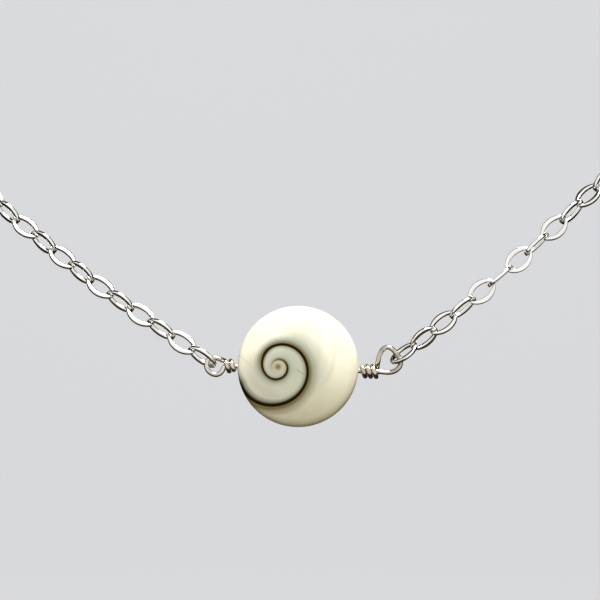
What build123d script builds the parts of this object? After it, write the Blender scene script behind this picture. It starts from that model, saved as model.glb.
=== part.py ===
from build123d import *
from math import atan2, ceil, cos, degrees, radians, sin
import os

os.makedirs("parts", exist_ok=True)

# A fine silver chain that meets behind the neck, with one round shell bead on a wrapped wire at the front.
# Millimetres. X to the wearer's left, Y backwards, Z up, and the origin at the nape.

# Shell bead, a puffed disc drilled from side to side
bead_diameter = 12.0
bead_rim_width = 2.4
front_rise = 0.8
back_rise = 0.8
rim_rounding = 0.45
bore_drop = 0.2  # the bore runs this far below the middle of the disc
bore_clearance = 0.05  # round the wire, so that the bead can turn

# Wire through the bead
wire_diameter = 0.5
wire_slope = 2.16  # degrees, down towards +X
wrap_start_gap = 0.06  # between the bead's edge and the first coil
coil_gap = 0.02  # between coil and stem
coil_pitch = 0.55
coil_lean = 0.18  # how far a coil's top leans towards -X, as a share of its height
wrap_turns_left = 1.25
wrap_turns_right = 2.75
entry_angle = 40.0  # degrees above level, where the loop's strand becomes the first coil
loop_left_length = 2.0
loop_left_height = 1.6
loop_right_length = 2.27
loop_right_height = 2.5
pull_left = 36.0  # degrees above level, the way the chain pulls on each loop
pull_right = 28.0
hook_gap = 0.4  # between the wire and the end of the link that hooks it

# Chain link, a flattened oval, broader at its sides than at its ends
link_length = 3.26
link_width = 2.3
link_end_radius = 0.72
link_hole_length = 2.62
link_hole_width = 1.24
link_hole_end_radius = 0.4
link_thickness = 0.4
link_edge = 0.12
link_gap = 0.145  # least gap between one link and the next

# Clasp and the ring that it holds
clasp_diameter = 5.6
clasp_wire = 0.9
clasp_eye_diameter = 2.3
clasp_eye_wire = 0.5
clasp_joint_overlap = 0.12
trigger_length = 0.8
trigger_diameter = 0.6
trigger_angle = 130.0
end_ring_diameter = 4.2
end_ring_wire = 0.56

# The neck that the chain goes round
neck_half_width = 55.7
neck_depth = 113.0
neck_rise = 80.0  # from the bead up to the nape

# How the chain lies beside the bead: points measured from the middle of the bead, outwards
front_right = [(13.6, 0.2, 3.65), (17.4, 0.6, 6.7), (21.1, 1.3, 9.8), (24.9, 2.3, 13.15), (28.4, 3.5, 16.4)]
front_left = [(-12.7, 0.1, 3.15), (-16.9, 0.6, 5.95), (-20.9, 1.3, 8.8), (-24.8, 2.3, 11.9), (-28.6, 3.5, 15.0)]

# Round the neck, from the +X side to the -X side: shares of its half width, its depth and its rise
round_neck = [
    (0.65, 0.066, 0.305),
    (0.801, 0.128, 0.43),
    (0.934, 0.239, 0.588),
    (1.0, 0.385, 0.73),
    (0.991, 0.549, 0.84),
    (0.873, 0.721, 0.918),
    (0.625, 0.874, 0.965),
    (0.32, 0.969, 0.99),
    (0.0, 1.0, 1.0),
    (-0.32, 0.969, 0.99),
    (-0.625, 0.874, 0.963),
    (-0.873, 0.721, 0.908),
    (-0.991, 0.549, 0.82),
    (-1.0, 0.385, 0.698),
    (-0.939, 0.239, 0.553),
    (-0.811, 0.128, 0.398),
    (-0.659, 0.066, 0.279),
]

# How far each link is turned about the chain, in degrees: link number from the bead, and turn
turns_right = [(0, 67), (1, 54), (2, 47), (5, 16), (8, 37), (10, 60), (30, 45)]
turns_left = [(0, -53), (2, -50), (8, -34), (30, -45)]


# Where things are
bead_centre = Vector(0, -neck_depth, -neck_rise)
bore_centre = bead_centre - Vector(0, 0, bore_drop)
slope = radians(wire_slope)
wire_axis = Vector(cos(slope), 0, -sin(slope))
wire_plane = Plane(origin=bore_centre, x_dir=wire_axis, z_dir=(sin(slope), 0, cos(slope)))
neck_middle_y = bead_centre.Y / 2


def on_wire(x, y, z):
    # A point given along, behind and above the wire's axis
    return wire_plane.from_local_coords(Vector(x, y, z))


def along_wire(x, y, z):
    return on_wire(x, y, z) - on_wire(0, 0, 0)


# Shell bead
profile_plane = Plane(origin=bead_centre, x_dir=(1, 0, 0), z_dir=(0, 0, 1))
bead_radius = bead_diameter / 2
half_rim = bead_rim_width / 2
with BuildPart() as shell_bead:
    with BuildSketch(profile_plane):
        with BuildLine():
            front_edge = (bead_radius, -half_rim)
            back_edge = (bead_radius, half_rim)
            front_middle = (0, -half_rim - front_rise)
            back_middle = (0, half_rim + back_rise)
            Line(front_middle, back_middle)
            TangentArc(back_middle, back_edge, tangent=(1, 0))
            Line(back_edge, front_edge)
            TangentArc(front_middle, front_edge, tangent=(1, 0))
        make_face()
    revolve(axis=Axis(bead_centre, (0, 1, 0)))
    fillet(shell_bead.edges().filter_by(GeomType.CIRCLE), rim_rounding)
    with BuildSketch(Plane(origin=bore_centre, z_dir=wire_axis)):
        Circle(wire_diameter / 2 + bore_clearance)
    extrude(amount=bead_diameter, both=True, mode=Mode.SUBTRACT)
shell_bead.part.label = "shell_bead"

# Bead wire: one length, coiled round itself outside the bead, looped, and straight through the bead
coil_radius = wire_diameter + coil_gap
coil_start = bead_radius + wrap_start_gap + wire_diameter / 2 + coil_lean * coil_radius
coil_end_left = -coil_start - wrap_turns_left * coil_pitch
coil_end_right = coil_start + wrap_turns_right * coil_pitch

# Each loop's line from the stem round to the coil: shares of its length outwards and of its height up
left_loop_shape = [
    (0.2, -0.3),
    (0.46, -0.57),
    (0.8, -0.46),
    (1.0, -0.06),
    (0.9, 0.36),
    (0.6, 0.47),
    (0.28, 0.37),
]
right_loop_shape = [
    (0.58, -0.01),
    (0.86, 0.12),
    (0.99, 0.36),
    (0.93, 0.56),
    (0.81, 0.72),
    (0.57, 0.93),
    (0.38, 0.98),
    (0.2, 0.88),
    (0.06, 0.66),
    (0.0, 0.38),
]


def wrapped_coil(turns, x, angle):
    # Runs along +X from x, and starts at an angle measured from the back over the top
    points_in_turn = 24
    steps = ceil(turns * points_in_turn)
    points = []
    for i in range(steps + 1):
        turned = turns * i / steps
        back = coil_radius * cos(radians(angle + 360 * turned))
        up = coil_radius * sin(radians(angle + 360 * turned))
        points.append(on_wire(x + turned * coil_pitch - coil_lean * up, back, up))
    with BuildLine() as coil:
        Spline(points)
    return coil.edge()


def loop_points(shape, coil_end, side, length, height):
    return [on_wire(coil_end + side * along * length, 0, up * height) for along, up in shape]


with BuildPart() as bead_wire:
    coil_left = wrapped_coil(wrap_turns_left, coil_end_left, 180 - entry_angle)
    coil_right = wrapped_coil(wrap_turns_right, coil_start, entry_angle - 360 * wrap_turns_right)
    with BuildLine() as stem:
        Line(on_wire(coil_end_left, 0, 0), on_wire(coil_end_right, 0, 0))
    left_points = loop_points(left_loop_shape, coil_end_left, -1, loop_left_length, loop_left_height)
    right_points = loop_points(right_loop_shape, coil_end_right, 1, loop_right_length, loop_right_height)
    with BuildLine() as loop_left:
        Spline(
            [stem.line @ 0, *left_points, coil_left @ 0],
            tangents=[-wire_axis, coil_left % 0],
        )
    with BuildLine() as loop_right:
        Spline(
            [stem.line @ 1, *right_points, coil_right @ 1],
            tangents=[wire_axis, -(coil_right % 1)],
        )
    wire_path = Wire([coil_left, loop_left.edge(), stem.edge(), loop_right.edge(), coil_right])
    with BuildSketch(Plane(origin=wire_path @ 0, z_dir=wire_path % 0)):
        Circle(wire_diameter / 2)
    sweep(path=wire_path)
bead_wire.part.label = "bead_wire"


# Where the chain hooks each loop: the loop's furthest point in the direction of the pull
def hook_point(loop, side, pull):
    steps = 200
    way = Vector(side * cos(radians(pull)), 0, sin(radians(pull)))
    furthest = max((loop @ (i / steps) for i in range(steps + 1)), key=lambda p: p.dot(way))
    return furthest - way * (wire_diameter / 2 + hook_gap - link_gap / 2)


right_hook = hook_point(loop_right.edge(), 1, pull_right)
left_hook = hook_point(loop_left.edge(), -1, pull_left)

neck_points = [(x * neck_half_width, y * neck_depth, z * neck_rise) for x, y, z in round_neck]
route_points = [*front_right, *neck_points, *reversed(front_left)]

with BuildLine() as route:
    Spline([right_hook, *[bead_centre + Vector(*p) for p in route_points], left_hook])
route_line = route.edge()
route_length = route_line.length

# The links fill the route beside the clasp and its ring, with the least gap or a hair more
clasp_radius = (clasp_diameter - clasp_wire) / 2
eye_radius = (clasp_eye_diameter - clasp_eye_wire) / 2
eye_offset = clasp_radius + (clasp_wire + clasp_eye_wire) / 2 + eye_radius - clasp_joint_overlap
eye_reach = eye_offset + eye_radius - clasp_eye_wire / 2
ring_reach = clasp_radius - clasp_wire / 2
clasp_span = eye_reach + ring_reach - link_gap
end_ring_radius = (end_ring_diameter - end_ring_wire) / 2
end_ring_span = end_ring_diameter - 2 * end_ring_wire - link_gap
chain_length = route_length - clasp_span - end_ring_span
link_count = ceil(chain_length / (link_hole_length - link_gap))
link_pitch = chain_length / link_count
links_right = round((route_length - clasp_span) / 2 / link_pitch)
links_left = link_count - links_right


def on_route(distance):
    return route_line.position_at(distance / route_length)


def turned_plane(start, end, turn):
    # A plane that holds the line from start to end, turned about it from facing away from the neck
    run = (end - start).normalized()
    middle = (start + end) / 2
    away = Vector(middle.X, middle.Y - neck_middle_y, 0)
    away = (away - run * away.dot(run)).normalized()
    across = run.cross(away)
    if across.Z < 0:
        across = -across
    face = away * cos(radians(turn)) + across * sin(radians(turn))
    return Plane(origin=middle, x_dir=run, z_dir=face)


def turn_at(turns, number):
    before = max((t for t in turns if t[0] <= number), key=lambda t: t[0])
    after = min((t for t in turns if t[0] >= number), key=lambda t: t[0], default=before)
    if after[0] == before[0]:
        return before[1]
    share = (number - before[0]) / (after[0] - before[0])
    return before[1] + share * (after[1] - before[1])


def link_places(first, step, count, turns, last_turn):
    # Each link lies a quarter turn from the one before it
    quarter = 90
    ending = [(count, last_turn - quarter * (count % 2))]
    places = []
    for number in range(count):
        start = on_route(first + step * number)
        end = on_route(first + step * (number + 1))
        turn = turn_at(turns + ending, number) + quarter * (number % 2)
        places.append(turned_plane(start, end, turn).location)
    return places


right_places = link_places(0, link_pitch, links_right, turns_right, 0)
left_places = link_places(route_length, -link_pitch, links_left, turns_left, 90)

# One link, then the two chains
def oval(length, width, end_radius):
    # Two narrow arcs and two wide ones, each meeting the next in line with it
    half_length = length / 2
    half_width = width / 2
    end_centre = half_length - end_radius
    side_radius = (half_length**2 + half_width**2 - 2 * half_length * end_radius) / (2 * (half_width - end_radius))
    side_centre = side_radius - half_width
    spread = degrees(atan2(side_centre, end_centre))
    with BuildSketch() as outline:
        with BuildLine():
            CenterArc((end_centre, 0), end_radius, -spread, 2 * spread)
            CenterArc((0, -side_centre), side_radius, spread, 180 - 2 * spread)
            CenterArc((-end_centre, 0), end_radius, 180 - spread, 2 * spread)
            CenterArc((0, side_centre), side_radius, 180 + spread, 180 - 2 * spread)
        make_face()
    return outline.sketch


with BuildPart() as link:
    with BuildSketch():
        add(oval(link_length, link_width, link_end_radius))
        add(oval(link_hole_length, link_hole_width, link_hole_end_radius), mode=Mode.SUBTRACT)
    extrude(amount=link_thickness / 2, both=True)
    chamfer(link.edges().filter_by(GeomType.CIRCLE), link_edge)


def chain(places, name):
    # The links hang through one another without touching, so they are gathered and not fused
    return Compound([link.solid().moved(place) for place in places], label=name)


chain_right = chain(right_places, "chain_right")
chain_left = chain(left_places, "chain_left")

# Clasp, lying flat behind the neck, with its eye towards the +X chain
clasp_start = on_route(link_pitch * links_right)
clasp_end = on_route(link_pitch * links_right + clasp_span)
clasp_line = (clasp_end - clasp_start).normalized()
clasp_plane = turned_plane(clasp_start, clasp_end, 0)
clasp_plane.origin = clasp_end - clasp_line * (ring_reach - link_gap / 2)
trigger_axis = Vector(cos(radians(trigger_angle)), sin(radians(trigger_angle)))
with BuildPart(clasp_plane) as clasp:
    Torus(clasp_radius, clasp_wire / 2)
    with Locations((-eye_offset, 0)):
        Torus(eye_radius, clasp_eye_wire / 2)
    with Locations(Plane(origin=trigger_axis * clasp_radius, z_dir=trigger_axis)):
        Cylinder(
            trigger_diameter / 2,
            clasp_wire / 2 + trigger_length,
            align=(Align.CENTER, Align.CENTER, Align.MIN),
        )
clasp.part.label = "clasp"

# End ring, at a quarter turn to the clasp
ring_end = on_route(link_pitch * links_right + clasp_span + end_ring_span)
with BuildPart(turned_plane(clasp_end, ring_end, 90)) as end_ring:
    Torus(end_ring_radius, end_ring_wire / 2)
end_ring.part.label = "end_ring"

finished = [shell_bead.part, bead_wire.part, chain_right, chain_left, clasp.part, end_ring.part]
for piece in finished:
    export_step(piece, f"parts/{piece.label}.step")

print("links", links_right, links_left, "pitch", round(link_pitch, 4))
print("route", round(route_length, 1), "loop with the bead", round(route_length + right_hook.X - left_hook.X, 1))
print("hooks", right_hook - bead_centre, left_hook - bead_centre)
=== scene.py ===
import math

import bpy
import numpy as np
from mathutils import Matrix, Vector


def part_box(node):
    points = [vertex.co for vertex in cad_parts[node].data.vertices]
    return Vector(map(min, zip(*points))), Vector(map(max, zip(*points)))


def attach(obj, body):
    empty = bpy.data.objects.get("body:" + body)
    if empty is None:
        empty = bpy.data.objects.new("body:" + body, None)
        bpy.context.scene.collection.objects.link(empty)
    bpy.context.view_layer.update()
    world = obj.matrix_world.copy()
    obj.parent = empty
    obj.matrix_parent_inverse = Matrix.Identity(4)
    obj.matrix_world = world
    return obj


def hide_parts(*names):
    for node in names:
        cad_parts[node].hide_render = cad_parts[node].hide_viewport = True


# A fine silver chain with one round shell bead on a looped wire. Lengths in the dictionaries are millimetres.
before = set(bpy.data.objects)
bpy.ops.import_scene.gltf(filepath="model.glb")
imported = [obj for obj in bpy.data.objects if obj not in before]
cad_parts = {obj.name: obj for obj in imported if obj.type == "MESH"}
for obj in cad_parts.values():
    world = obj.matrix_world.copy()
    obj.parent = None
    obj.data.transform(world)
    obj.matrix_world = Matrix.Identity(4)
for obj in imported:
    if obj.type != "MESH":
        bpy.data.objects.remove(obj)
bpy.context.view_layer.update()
mm = 0.001
beadLow, beadHigh = (np.array(corner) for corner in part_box("shell_bead"))
beadCentre = (beadLow + beadHigh) / 2
print("frame loaded:", ", ".join(sorted(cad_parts)))


# Materials
def paint(red, green, blue):
    # A colour read as 0 to 255, for a shader
    linear = [(c / 255 + 0.055) ** 2.4 / 1.055**2.4 if c > 10 else c / 255 / 12.92 for c in (red, green, blue)]
    return (*linear, 1.0)


def fillRamp(ramp, stops):
    while len(ramp.elements) < len(stops):
        ramp.elements.new(1.0)
    for element, (place, colour) in zip(ramp.elements, stops):
        element.position = place
        element.color = colour


class Flow:
    # A node's output that can stand in a sum, so that shader maths reads as it is written
    def __init__(self, tree, socket=None):
        self.tree = tree
        self.socket = socket

    def add(self, kind, settings=None, inputs=None, output=0):
        node = self.tree.nodes.new("ShaderNode" + kind)
        for name, value in (settings or {}).items():
            if name == "stops":
                fillRamp(node.color_ramp, value)
            else:
                setattr(node, name, value)
        for name, value in (inputs or {}).items():
            if isinstance(value, Flow):
                self.tree.links.new(value.socket, node.inputs[name])
            else:
                node.inputs[name].default_value = value
        return Flow(self.tree, node.outputs[output] if node.outputs else None)

    def maths(self, operation, *values):
        return self.add("Math", {"operation": operation}, dict(enumerate(values)))

    def __add__(self, other):
        return self.maths("ADD", self, other)

    def __radd__(self, other):
        return self.maths("ADD", other, self)

    def __sub__(self, other):
        return self.maths("SUBTRACT", self, other)

    def __rsub__(self, other):
        return self.maths("SUBTRACT", other, self)

    def __mul__(self, other):
        return self.maths("MULTIPLY", self, other)

    def __rmul__(self, other):
        return self.maths("MULTIPLY", other, self)

    def __truediv__(self, other):
        return self.maths("DIVIDE", self, other)

    def __pow__(self, other):
        return self.maths("POWER", self, other)

    def __neg__(self):
        return self.maths("MULTIPLY", self, -1.0)

    def ease(self, low, high):
        # 0 below low, 1 above high, and smooth between
        settings = {"interpolation_type": "SMOOTHSTEP"}
        return self.add("MapRange", settings, {"Value": self, "From Min": low, "From Max": high})

    def blend(self, first, second):
        # From the first colour to the second as this value goes from 0 to 1
        return self.add("Mix", {"data_type": "RGBA"}, {0: self, 6: first, 7: second}, 2)

    def noise(self, place, scale, detail=3.0, roughness=0.5):
        inputs = {"Vector": place, "Scale": scale, "Detail": detail, "Roughness": roughness}
        return self.add("TexNoise", None, inputs)


def newFinish(name):
    material = bpy.data.materials.new(name)
    material.use_nodes = True
    material.node_tree.nodes.clear()
    return material, Flow(material.node_tree)


def finishWith(material, start, sockets):
    surface = start.add("BsdfPrincipled", None, sockets)
    start.add("OutputMaterial", None, {"Surface": surface})
    return material


shell = {
    "radius": 6.0,
    "rim": 2.4,
    "rise": 0.8,
    "rounding": 0.45,
    "bore": 0.3,
    "steps": 160,  # round the disc
    "domeSteps": 24,  # from its middle to where the edge rounds over
    "edgeSteps": 10,  # round half of the edge
    "creaseAngle": 50,  # degrees; the rims of the bore stay sharp
    "spiralX": -1.976,  # middle of the spiral, from the middle of the disc
    "firstRadius": 2.905,  # of the line, straight towards +X
    "tightening": 1.15,  # what the radius's natural logarithm loses in a turn
    "outerTightening": 1.04,
    "drawIn": {"from": 0.27, "turns": 0.16, "power": 2.69, "amount": 14.2},  # of the last half turn
    "flattening": 0.05,  # of the second whorl's left
    "lineStart": (0.48, 0.8),  # distances from the spiral's middle
    "lineEnd": 4.9,
    "halfLine": (0.1, 0.012, 0.02),  # at the middle, more for each millimetre out, more in the deep part
    "bands": {  # beside the line: share of the radius, more in the deep part, soft from and to
        "olive": (0.12, 0.0, -0.16, 0.24),
        "shade": (0.235, 0.0, -0.3, 0.4),
        "umber": (0.055, 0.06, -0.04, 0.16),
        "innerShade": (0.11, 0.14, -0.1, 0.4),
    },
    "white": paint(250, 246, 223),
    # the shell's white with painted shade, for the lower part of the bead
    "paintedShadeWhite": paint(194, 185, 153),
    "innerWhite": paint(192, 190, 168),
    "grey": paint(182, 184, 166),
    "glow": paint(180, 183, 160),
    # painted shade for the lower edge of the disc
    "paintedRimShade": paint(128, 118, 84),
    "innerShade": paint(140, 147, 126),
    "umber": paint(84, 62, 16),
    "shade": paint(148, 158, 138),
    "lowShade": paint(156, 148, 120),
    "olive": paint(102, 90, 28),
    "line": paint(32, 12, 1),
    "lowLine": paint(26, 12, 3),
    "innerLine": paint(56, 28, 2),
    "lastLine": paint(112, 92, 34),
    "heart": paint(112, 96, 50),
    "lastWhorl": paint(186, 180, 148),
    "streak": paint(222, 212, 180),
    "cloud": paint(222, 222, 208),
    "striae": paint(196, 190, 160),
    "ring": paint(206, 198, 168),
    "hairline": paint(150, 128, 84),
    "hairlines": [  # from and to, across and up, then how strong
        ((1.91, -0.3), (2.5, -0.7), 0.5),
        ((-3.8, 1.09), (-2.76, 0.2), 0.2),
    ],
    "growthSlope": 1.72,  # millimetres outwards in a radian
    "growthArcs": ((5.36, 0.32), (3.72, 0.25)),  # where and how strong
    "gloss": 0.22,
}

silver = {
    "colour": paint(250, 249, 246),
    "deepColour": paint(236, 232, 225),
    "wireColour": paint(222, 214, 202),
    "deepWireColour": paint(150, 141, 126),
    "roughness": (0.08, 0.14),
    "grain": 2600.0,
}


def shellFinish():
    material, start = newFinish("polished shell")
    place = start.add("TexCoord", None, None, 3)
    parts = start.add("SeparateXYZ", None, {"Vector": place})
    x, y, z = (Flow(start.tree, socket) for socket in parts.socket.node.outputs)
    across = (x - (beadCentre[0] + shell["spiralX"] * mm)) * 1000
    up = (z - beadCentre[2]) * 1000
    radius = (across * across + up * up) ** 0.5
    logRadius = start.maths("LOGARITHM", radius / shell["firstRadius"], math.e)
    angle = start.maths("ARCTAN2", up, across)
    turn = angle / math.tau

    # The last half turn draws in towards the rim, and the second whorl is flatter on its left
    outwards = start.maths("FRACT", -turn)
    drawIn = shell["drawIn"]
    late = start.maths("MINIMUM", start.maths("MAXIMUM", outwards - drawIn["from"], 0.0), drawIn["turns"])
    drawnIn = late ** drawIn["power"] * drawIn["amount"]
    drawnIn = drawnIn * (1 - outwards.ease(0.55, 0.75)) * logRadius.ease(-0.3, -0.05)
    flatter = (-across / radius).ease(0.2, 1.0) * (1 - start.maths("ABSOLUTE", logRadius + 0.6).ease(0.08, 0.3))
    logRadius = logRadius + drawnIn + flatter * shell["flattening"]
    inner = start.maths("MINIMUM", logRadius, 0.0)
    outer = start.maths("MAXIMUM", logRadius, 0.0)
    inward = -(inner / shell["tightening"] + outer / shell["outerTightening"])
    share = start.maths("FRACT", inward - turn)
    toOuter = radius * (start.maths("EXPONENT", share * shell["tightening"]) - 1)
    toInner = radius * (1 - start.maths("EXPONENT", (share - 1) * shell["tightening"]))

    # The line runs only where the whorls do, and on the front
    front = 1 - ((y - beadCentre[1]) * 1000).ease(-0.3, 0.5)
    deep = radius.ease(3.0, 3.7)
    over = outwards.ease(0.43, 0.5) * (1 - outwards.ease(0.6, 0.8)) * radius.ease(3.4, 3.6)
    over = over + radius.ease(shell["lineEnd"] - 0.3, shell["lineEnd"])
    drawn = radius.ease(*shell["lineStart"]) * start.maths("MAXIMUM", 1 - over, 0.0) * front
    nearest = start.maths("MINIMUM", toOuter, toInner)
    middleHalf, halfOutwards, halfDeep = shell["halfLine"]
    half = middleHalf + halfOutwards * radius + halfDeep * deep
    line = (1 - nearest.ease(half * 0.7, half * 1.3)) * drawn

    def band(name, distance):
        share, more, softFrom, softTo = shell["bands"][name]
        return (1 - (distance - share * radius - more * deep).ease(softFrom, softTo)) * drawn

    olive, shade = band("olive", toInner), band("shade", toInner)
    umber, innerShade = band("umber", toOuter), band("innerShade", toOuter)
    towards = ((across + 0.35 * up) / radius).ease(0.3, 1.0) * (1 - radius.ease(5.6, 6.6))
    glow = (1 - toInner.ease(0.5, 3.2)) * towards * front

    # Growth lines on the outer whorl, and streaks that follow the whorls
    growth = radius - shell["growthSlope"] * angle
    outerWhorl = across.ease(0.8, 3.2) * radius.ease(3.2, 3.8) * (1 - up.ease(1.2, 3.6)) * front
    rings = start.noise(start.add("CombineXYZ", None, {"X": growth * 2.4, "Y": angle * 0.7}), 1.0, 3.0, 0.6)
    rings = rings.ease(0.5, 0.72) * 0.2
    for home, strength in shell["growthArcs"]:
        rings = rings + (1 - start.maths("ABSOLUTE", growth - home).ease(0.03, 0.34)) * strength
    circling = start.add("CombineXYZ", None, {"X": across / radius, "Y": up / radius, "Z": logRadius * 5})
    streaks = start.noise(circling, 2.2, 4.0, 0.6)
    radial = start.add("CombineXYZ", None, {"X": across / radius * 14, "Y": up / radius * 14, "Z": radius * 0.8})
    striae = start.noise(radial, 1.0, 3.0, 0.6)
    cloud = start.noise(place, 420.0, 3.0, 0.5)

    # Painted shade: the shell's white darkens towards the bottom of the bead, standing in for the dome turning away
    # from the light above
    low = 1 - ((z - beadCentre[2]) * 1000).ease(-6.4, 3.2)
    within = (1 - (radius + 0.9 * up / radius).ease(2.1, 3.9)) * front
    colour = low.blend(shell["white"], shell["paintedShadeWhite"])
    colour = (within * 0.85).blend(colour, shell["innerWhite"])
    middle = (1 - radius.ease(1.1, 2.3)) * front
    colour = (middle * 0.65).blend(colour, shell["grey"])
    colour = (streaks.ease(0.48, 0.7) * 0.3).blend(colour, shell["streak"])
    colour = (cloud.ease(0.5, 0.75) * 0.2).blend(colour, shell["cloud"])
    colour = (striae.ease(0.42, 0.68) * front * 0.11).blend(colour, shell["striae"])
    # Painted shade: the lower edge of the disc darkens where the dome rounds away from the light
    reach = ((x - beadCentre[0]) ** 2 + (z - beadCentre[2]) ** 2) ** 0.5 * 1000
    colour = (reach.ease(5.0, 6.0) * low * 0.6).blend(colour, shell["paintedRimShade"])
    colour = (rings * outerWhorl).blend(colour, shell["ring"])
    colour = (glow * 0.9).blend(colour, shell["glow"])
    colour = (innerShade * 0.9).blend(colour, shell["innerShade"])
    colour = (umber * 0.85).blend(colour, shell["umber"])
    shadeColour = radius.ease(3.2, 4.0).blend(shell["shade"], shell["lowShade"])
    colour = (shade * 0.85).blend(colour, shadeColour)
    colour = (olive * 0.85).blend(colour, shell["olive"])
    for (fromX, fromZ), (toX, toZ), strength in shell["hairlines"]:
        runX, runZ = toX - fromX, toZ - fromZ
        along = ((across - fromX) * runX + (up - fromZ) * runZ) / (runX**2 + runZ**2)
        along = start.maths("MINIMUM", start.maths("MAXIMUM", along, 0.0), 1.0)
        offX, offZ = across - fromX - along * runX, up - fromZ - along * runZ
        hairline = (1 - ((offX * offX + offZ * offZ) ** 0.5).ease(0.02, 0.11)) * front
        colour = (hairline * strength).blend(colour, shell["hairline"])
    lineColour = radius.ease(1.5, 2.2).blend(shell["innerLine"], shell["line"])
    lineColour = radius.ease(0.66, 1.0).blend(shell["lastLine"], lineColour)
    lineColour = radius.ease(3.3, 3.8).blend(lineColour, shell["lowLine"])
    lastWhorl = (1 - radius.ease(0.4, 0.8)) * front
    colour = (lastWhorl * 0.85).blend(colour, shell["lastWhorl"])
    colour = line.blend(colour, lineColour)
    heart = (1 - radius.ease(0.05, 0.5)) * front
    colour = (heart * 0.9).blend(colour, shell["heart"])

    ridges = start.add("Bump", None, {"Strength": 0.12, "Distance": 0.00004, "Height": streaks})
    return finishWith(
        material,
        start,
        {
            "Base Color": colour,
            "Roughness": shell["gloss"] + 0.1 * cloud,
            "Normal": ridges,
            "Specular IOR Level": 0.03,
            "Coat Weight": 0.16 * (1 - line),
            "Coat Roughness": 0.18,
        },
    )


def silverFinish(name, shallow, deep):
    material, start = newFinish(name)
    place = start.add("TexCoord", None, None, 3)
    cloud = start.noise(place, silver["grain"] / 6, 2.0, 0.5)
    grain = start.noise(place, silver["grain"], 4.0, 0.65)
    smooth, rough = silver["roughness"]
    dents = start.add("Bump", None, {"Strength": 0.1, "Distance": 0.00002, "Height": cloud})
    scratches = start.add("Bump", None, {"Strength": 0.03, "Distance": 0.000006, "Height": grain, "Normal": dents})
    return finishWith(
        material,
        start,
        {
            "Base Color": cloud.ease(0.35, 0.7).blend(shallow, deep),
            "Metallic": 1.0,
            "Roughness": smooth + (rough - smooth) * grain,
            "Normal": scratches,
        },
    )


shellMaterial = shellFinish()
silverMaterial = silverFinish("bright silver", silver["colour"], silver["deepColour"])
wireMaterial = silverFinish("handled silver", silver["wireColour"], silver["deepWireColour"])
print("finishes made")


# Meshes
def makePiece(name, points, faces, material, body, slot, *nodes):
    mesh = bpy.data.meshes.new(name)
    mesh.from_pydata([tuple(p) for p in points], [], faces)
    mesh.polygons.foreach_set("use_smooth", [True] * len(mesh.polygons))
    mesh.materials.append(material)
    piece = bpy.data.objects.new(name, mesh)
    bpy.context.scene.collection.objects.link(piece)
    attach(piece, body)
    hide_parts(*nodes)
    return piece


def gridFaces(rows, columns, closed):
    # Faces of a tube: rows along it, columns round it
    faces = []
    for row in range(rows if closed else rows - 1):
        after = (row + 1) % rows
        for column in range(columns):
            beside = (column + 1) % columns
            faces.append(
                (row * columns + column, row * columns + beside, after * columns + beside, after * columns + column)
            )
    return faces


# Shell bead: a puffed disc, turned about its Y axis, with the bore cut through
def beadProfile():
    # Radius and Y from the front's middle to the back's middle
    dome = (shell["radius"] ** 2 + shell["rise"] ** 2) / (2 * shell["rise"])
    centreY = dome - shell["rim"] / 2 - shell["rise"]
    edgeRadius = shell["radius"] - shell["rounding"]
    edgeY = centreY - math.sqrt((dome - shell["rounding"]) ** 2 - edgeRadius**2)
    spread = math.asin(edgeRadius / (dome - shell["rounding"]))
    domeAngles = np.linspace(0, spread, shell["domeSteps"] + 1)[1:]
    half = [(dome * math.sin(a), centreY - dome * math.cos(a)) for a in domeAngles]
    for a in np.linspace(spread, math.pi / 2, shell["edgeSteps"] + 1)[1:]:
        half.append((edgeRadius + shell["rounding"] * math.sin(a), edgeY - shell["rounding"] * math.cos(a)))
    front = -shell["rim"] / 2 - shell["rise"]
    return front, half + [(r, -y) for r, y in reversed(half)]


def makeBead():
    front, profile = beadProfile()
    steps = shell["steps"]
    points = []
    for radius, y in profile:
        for angle in np.linspace(0, math.tau, steps, endpoint=False):
            points.append(beadCentre + np.array([radius * math.cos(angle), y, radius * math.sin(angle)]) * mm)
    faces = gridFaces(len(profile), steps, False)
    for y, row in ((front, 0), (-front, len(profile) - 1)):
        middle = len(points)
        points.append(beadCentre + np.array([0, y, 0]) * mm)
        for step in range(steps):
            corners = (middle, row * steps + (step + 1) % steps, row * steps + step)
            faces.append(corners if row == 0 else corners[::-1])
    return makePiece("shell_bead_polished", points, faces, shellMaterial, "bead", "shell", "shell_bead")


wire = {
    "diameter": 0.5,
    "slope": 2.16,  # degrees, down towards +X
    "drop": 0.2,  # of the bore, below the middle of the bead
    "startGap": 0.06,
    "coilGap": 0.02,
    "coilPitch": 0.55,
    "coilLean": 0.18,  # a coil's top leans towards -X by this share of its height
    "turnsLeft": 1.25,
    "turnsRight": 2.75,
    "entryAngle": 40.0,
    "leftLength": 2.0,
    "leftHeight": 1.6,
    "rightLength": 2.27,
    "rightHeight": 2.5,
    "leftShape": [(0.2, -0.3), (0.46, -0.57), (0.8, -0.46), (1.0, -0.06), (0.9, 0.36), (0.6, 0.47), (0.28, 0.37)],
    "rightShape": [(0.58, -0.01), (0.86, 0.12), (0.99, 0.36), (0.93, 0.56), (0.81, 0.72), (0.57, 0.93), (0.38, 0.98),
                   (0.2, 0.88), (0.06, 0.66), (0.0, 0.38)],
    "columns": 24,
    "coilSteps": 40,  # in a turn
    "stemSteps": 60,
    "step": 0.045,  # along a loop
    "tipLength": 0.45,  # of its rounded ends, as a share of the radius
    "tipAngles": (0.5, 0.95, 1.3),
}
slope = math.radians(wire["slope"])
boreCentre = beadCentre - np.array([0, 0, wire["drop"]]) * mm
wireAxes = np.array([[math.cos(slope), 0, -math.sin(slope)], [0, 1, 0], [math.sin(slope), 0, math.cos(slope)]])
coilRadius = wire["diameter"] + wire["coilGap"]


def onWire(points):
    # Millimetres along, behind and above the bore's middle, in the shared frame
    return boreCentre + np.array(points) @ wireAxes * mm


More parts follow.
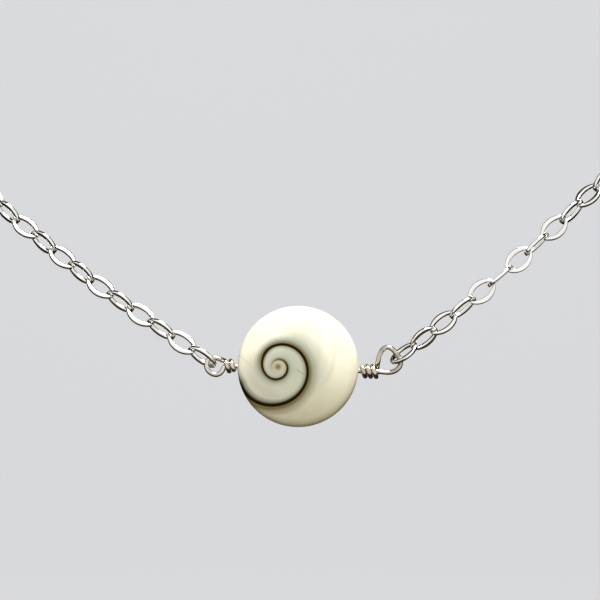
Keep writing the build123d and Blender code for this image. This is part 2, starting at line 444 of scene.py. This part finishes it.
def coilRun(turns, x, angle):
    count = int(turns * wire["coilSteps"])
    turned = np.linspace(0, math.tau * turns, count + 1)
    back = coilRadius * np.cos(math.radians(angle) + turned)
    up = coilRadius * np.sin(math.radians(angle) + turned)
    return np.stack([x + wire["coilPitch"] * turned / math.tau - wire["coilLean"] * up, back, up], axis=1)


def smoothRun(points, startWay, endWay):
    # An even curve through the points that starts and ends in the two directions
    points = np.array(points, dtype=float)
    gaps = np.linalg.norm(np.diff(points, axis=0), axis=1)
    count = len(points)
    shares, sums = np.zeros((count, count)), np.zeros((count, 3))
    shares[0, 0] = shares[-1, -1] = 1
    sums[0], sums[-1] = startWay, endWay
    for i in range(1, count - 1):
        before, after = gaps[i - 1], gaps[i]
        shares[i, i - 1 : i + 2] = after, 2 * (before + after), before
        steps = points[i] - points[i - 1], points[i + 1] - points[i]
        sums[i] = 3 * (after / before * steps[0] + before / after * steps[1])
    ways = np.linalg.solve(shares, sums)
    run = []
    for i, gap in enumerate(gaps):
        parts = max(2, int(gap / wire["step"]))
        for t in np.linspace(0, 1, parts, endpoint=False):
            run.append(
                (2 * t**3 - 3 * t**2 + 1) * points[i]
                + (t**3 - 2 * t**2 + t) * gap * ways[i]
                + (3 * t**2 - 2 * t**3) * points[i + 1]
                + (t**3 - t**2) * gap * ways[i + 1]
            )
    return np.array(run + [points[-1]])


def wirePath():
    start = shell["radius"] + wire["startGap"] + wire["diameter"] / 2 + wire["coilLean"] * coilRadius
    endLeft = -start - wire["turnsLeft"] * wire["coilPitch"]
    endRight = start + wire["turnsRight"] * wire["coilPitch"]
    coilLeft = coilRun(wire["turnsLeft"], endLeft, 180 - wire["entryAngle"])
    coilRight = coilRun(wire["turnsRight"], start, wire["entryAngle"] - 360 * wire["turnsRight"])
    shapeLeft = [(endLeft - a * wire["leftLength"], 0, u * wire["leftHeight"]) for a, u in wire["leftShape"]]
    shapeRight = [(endRight + a * wire["rightLength"], 0, u * wire["rightHeight"]) for a, u in wire["rightShape"]]
    leftWay = (coilLeft[1] - coilLeft[0]) / np.linalg.norm(coilLeft[1] - coilLeft[0])
    rightWay = (coilRight[-2] - coilRight[-1]) / np.linalg.norm(coilRight[-2] - coilRight[-1])
    loopLeft = smoothRun([(endLeft, 0, 0), *shapeLeft, coilLeft[0]], (-1, 0, 0), leftWay)
    loopRight = smoothRun([(endRight, 0, 0), *shapeRight, coilRight[-1]], (1, 0, 0), rightWay)
    stem = np.array([(x, 0, 0) for x in np.linspace(endLeft, endRight, wire["stemSteps"])])
    return np.concatenate([coilLeft[::-1], loopLeft[::-1][1:], stem[1:-1], loopRight[:-1], coilRight[::-1]])


def roundTube(path, radius, columns):
    # Rings that don't twist from one to the next, and a rounded tip at each end
    ways = np.gradient(path, axis=0)
    ways /= np.linalg.norm(ways, axis=1)[:, None]
    side = np.cross(ways[0], (0, 0, 1.0))
    side /= np.linalg.norm(side)
    rings = []
    for place, way in zip(path, ways):
        side = side - way * side.dot(way)
        side /= np.linalg.norm(side)
        rings.append((place, way, side, np.cross(way, side)))
    tips = []
    for end, sign in ((0, -1), (-1, 1)):
        place, way, side, other = rings[end]
        reach = way * sign * radius * wire["tipLength"]
        tips.append([(place + reach * math.sin(a), side, other, math.cos(a)) for a in wire["tipAngles"]])
    sized = tips[0][::-1]
    sized += [(place, side, other, 1.0) for place, way, side, other in rings]
    sized += tips[1]
    angles = np.linspace(0, math.tau, columns, endpoint=False)
    points = []
    for place, side, other, share in sized:
        for a in angles:
            points.append(place + radius * share * (side * math.cos(a) + other * math.sin(a)))
    faces = gridFaces(len(sized), columns, False)
    faces.append(tuple(reversed(range(columns))))
    faces.append(tuple(range((len(sized) - 1) * columns, len(sized) * columns)))
    return points, faces


bead = makeBead()
boreEnds = onWire([(-9, 0, 0), (9, 0, 0)])
borePoints, boreFaces = roundTube(np.linspace(boreEnds[0], boreEnds[1], 5), shell["bore"] * mm, 48)
drill = bpy.data.meshes.new("drill")
drill.from_pydata([tuple(p) for p in borePoints], [], boreFaces)
drillObject = bpy.data.objects.new("drill", drill)
bpy.context.scene.collection.objects.link(drillObject)
cut = bead.modifiers.new("bore", "BOOLEAN")
cut.operation = "DIFFERENCE"
cut.solver = "EXACT"
cut.object = drillObject
bored = bpy.data.meshes.new_from_object(bead.evaluated_get(bpy.context.evaluated_depsgraph_get()))
bead.modifiers.clear()
bead.data = bored
bored.set_sharp_from_angle(angle=math.radians(shell["creaseAngle"]))
bpy.data.objects.remove(drillObject)
print("bead turned and bored,", len(bored.polygons), "faces")

wirePoints, wireFaces = roundTube(onWire(wirePath()), wire["diameter"] / 2 * mm, wire["columns"])
makePiece("looped_wire", wirePoints, wireFaces, wireMaterial, "necklace", "silver", "bead_wire")
print("wire looped and wrapped,", len(wireFaces), "faces")


# Chain: one flat oval link, copied to where each CAD link hangs
link = {
    "length": 3.26,
    "width": 2.3,
    "endRadius": 0.72,
    "holeLength": 2.62,
    "holeWidth": 1.24,
    "holeEndRadius": 0.4,
    "thickness": 0.4,
    "endSteps": 12,
    "sideSteps": 10,
    "columns": 20,
    "squareness": 3.6,
}


def oval(length, width, end):
    # Two narrow arcs and two wide ones, each meeting the next in line with it
    halfLength, halfWidth = length / 2, width / 2
    endCentre = halfLength - end
    side = (halfLength**2 + halfWidth**2 - 2 * halfLength * end) / (2 * (halfWidth - end))
    sideCentre = side - halfWidth
    spread = math.atan2(sideCentre, endCentre)
    arcs = (
        (endCentre, 0, end, -spread, spread, link["endSteps"]),
        (0, -sideCentre, side, spread, math.pi - spread, link["sideSteps"]),
        (-endCentre, 0, end, math.pi - spread, math.pi + spread, link["endSteps"]),
        (0, sideCentre, side, math.pi + spread, math.tau - spread, link["sideSteps"]),
    )
    points = []
    for x, y, radius, first, last, steps in arcs:
        for a in np.linspace(first, last, steps, endpoint=False):
            points.append((x + radius * math.cos(a), y + radius * math.sin(a), 0))
    return np.array(points)


def linkTemplate():
    outside = oval(link["length"], link["width"], link["endRadius"])
    inside = oval(link["holeLength"], link["holeWidth"], link["holeEndRadius"])
    power = 2 / link["squareness"]
    points = []
    for outer, inner in zip(outside, inside):
        for a in np.linspace(0, math.tau, link["columns"], endpoint=False):
            c, s = math.cos(a), math.sin(a)
            out = math.copysign(abs(c) ** power, c) / 2
            high = math.copysign(abs(s) ** power, s) * link["thickness"] / 2
            points.append((outer + inner) / 2 + (outer - inner) * out + np.array([0, 0, high]))
    return np.array(points) * mm, gridFaces(len(outside), link["columns"], True)


def linkPlaces(node):
    # The middle and the three axes of each loose part, from the surface's second moments
    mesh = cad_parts[node].data
    mesh.calc_loop_triangles()
    corners = np.zeros(len(mesh.vertices) * 3)
    mesh.vertices.foreach_get("co", corners)
    corners = corners.reshape(-1, 3)
    triangles = np.zeros(len(mesh.loop_triangles) * 3, dtype=np.int64)
    mesh.loop_triangles.foreach_get("vertices", triangles)
    _, same = np.unique(np.round(corners, 7), axis=0, return_inverse=True)
    same = same.reshape(-1)
    triangles = triangles.reshape(-1, 3)
    joined = same[triangles]
    label = np.arange(same.max() + 1)
    while True:
        least = label[joined].min(axis=1)
        lower = label.copy()
        for column in range(3):
            np.minimum.at(lower, joined[:, column], least)
        lower = lower[lower]
        if (lower == label).all():
            break
        label = lower
    owner = label[joined[:, 0]]
    places = []
    for part in np.unique(owner):
        a, b, c = (corners[triangles[owner == part][:, k]] for k in range(3))
        area = np.linalg.norm(np.cross(b - a, c - a), axis=1) / 2
        middle = ((a + b + c) / 3 * area[:, None]).sum(axis=0) / area.sum()
        a, b, c = a - middle, b - middle, c - middle
        total = a + b + c
        moments = sum(np.einsum("n,ni,nj->ij", area / 12, v, v) for v in (a, b, c, total))
        axes = np.linalg.eigh(moments)[1][:, ::-1]
        if np.linalg.det(axes) < 0:
            axes[:, 2] = -axes[:, 2]
        places.append((middle, axes))
    return places


linkPoints, linkFaces = linkTemplate()
for node in ("chain_right", "chain_left"):
    points, faces = [], []
    places = linkPlaces(node)
    for number, (middle, axes) in enumerate(places):
        points.append(linkPoints @ axes.T + middle)
        first = number * len(linkPoints)
        faces += [tuple(first + corner for corner in face) for face in linkFaces]
    makePiece(node + "_links", np.concatenate(points), faces, silverMaterial, "necklace", "silver", node)
    print(node, len(places), "links,", len(faces), "faces")

for node in ("clasp", "end_ring"):
    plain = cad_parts[node]
    plain.data.materials.clear()
    plain.data.materials.append(silverMaterial)

# Studio: a pale bowl of a backdrop, soft light from above and in front
studio = {
    "floor": -600.0,
    "radius": 2300.0,
    "bend": 350.0,
    "height": 2600.0,
    "colour": paint(212, 213, 216),
    "deepColour": paint(202, 203, 206),
    "cameraBack": 400.0,
    "cameraUp": 6.6,
    "cameraAside": 0.2,
    "viewWidth": 59.6,
    "lights": [
        # name, place and aim from the bead, size, watts, colour
        ("key", (250, -290, 980), (0, 0, 0), 500, 14.0, (1.0, 0.99, 0.97)),
        ("wall", (0, 700, 900), (0, 2300, 0), 1200, 5.5, (1.0, 1.0, 1.0)),
        ("opposite wall", (0, -700, 900), (0, -2300, 0), 1200, 5.5, (1.0, 1.0, 1.0)),
    ],
}

sky = {
    "room": paint(18, 12, 7),
    "ceiling": paint(58, 53, 46),
    "ground": paint(66, 55, 38),
    "backScreen": paint(226, 226, 226),
    "frontScreen": paint(255, 255, 255),
    "strength": 1.02,
}


def makeBackdrop():
    profile = [(0.0, 0.0)]
    flat = studio["radius"] - studio["bend"]
    profile += [(flat * share, 0.0) for share in (0.25, 0.5, 0.75)]
    for a in np.linspace(0, math.pi / 2, 13):
        profile.append((flat + studio["bend"] * math.sin(a), studio["bend"] * (1 - math.cos(a))))
    profile.append((studio["radius"], studio["height"]))
    columns = 96
    points = []
    for radius, height in profile[1:]:
        for a in np.linspace(0, math.tau, columns, endpoint=False):
            points.append((radius * math.cos(a) * mm, radius * math.sin(a) * mm, (studio["floor"] + height) * mm))
    faces = [face[::-1] for face in gridFaces(len(profile) - 1, columns, False)]
    faces.append(tuple(range(columns)))
    mesh = bpy.data.meshes.new("pale backdrop")
    mesh.from_pydata(points, [], faces)
    mesh.polygons.foreach_set("use_smooth", [True] * len(mesh.polygons))
    material, start = newFinish("pale backdrop")
    paper = start.noise(start.add("TexCoord", None, None, 3), 6.0, 2.0, 0.5)
    colour = (paper * 0.05).blend(studio["colour"], studio["deepColour"])
    mesh.materials.append(finishWith(material, start, {"Base Color": colour, "Roughness": 0.9}))
    backdrop = bpy.data.objects.new("backdrop", mesh)
    bpy.context.scene.collection.objects.link(backdrop)
    backdrop.visible_glossy = False
    backdrop.visible_shadow = False
    backdrop.visible_diffuse = False


def makeLights():
    for name, place, aim, size, watts, colour in studio["lights"]:
        light = bpy.data.lights.new(name, "AREA")
        light.shape = "SQUARE"
        light.size = size * mm
        light.energy = watts
        light.color = colour
        lamp = bpy.data.objects.new(name, light)
        lamp.location = Vector(beadCentre + np.array(place) * mm)
        lamp.rotation_mode = "QUATERNION"
        lamp.rotation_quaternion = Vector(np.array(aim) - np.array(place)).to_track_quat("-Z", "Y")
        bpy.context.scene.collection.objects.link(lamp)


def makeSky():
    # What the silver mirrors: a wide white screen in front, a smaller one behind, and a dark brown room
    world = bpy.data.worlds.new("studio")
    bpy.context.scene.world = world
    world.use_nodes = True
    world.node_tree.nodes.clear()
    start = Flow(world.node_tree)
    parts = start.add("SeparateXYZ", None, {"Vector": start.add("TexCoord", None, None, 0)})
    x, y, z = (Flow(start.tree, socket) for socket in parts.socket.node.outputs)
    colour = z.ease(0.25, 0.6).blend(sky["room"], sky["ceiling"])
    colour = (-z).ease(0.45, 0.8).blend(colour, sky["ground"])
    colour = (0.3 * z + 0.95 * y).ease(0.72, 0.86).blend(colour, sky["backScreen"])
    sideways = start.maths("ABSOLUTE", x)
    colour = (0.3 * z - 0.95 * y + 0.35 * sideways).ease(0.52, 0.66).blend(colour, sky["frontScreen"])
    light = start.add("Background", None, {"Color": colour, "Strength": sky["strength"]})
    start.add("OutputWorld", None, {"Surface": light})


def makeCamera():
    lens = bpy.data.cameras.new("camera")
    lens.sensor_width = 36.0
    lens.lens = 36.0 * studio["cameraBack"] / studio["viewWidth"]
    lens.clip_start = 0.01
    camera = bpy.data.objects.new("camera", lens)
    place = np.array([studio["cameraAside"], -studio["cameraBack"], studio["cameraUp"]])
    camera.location = Vector(beadCentre + place * mm)
    camera.rotation_euler = (math.pi / 2, 0, 0)
    bpy.context.scene.collection.objects.link(camera)
    bpy.context.scene.camera = camera


makeBackdrop()
makeLights()
makeSky()
makeCamera()
bpy.context.scene.view_settings.view_transform = "Standard"
print("studio set")
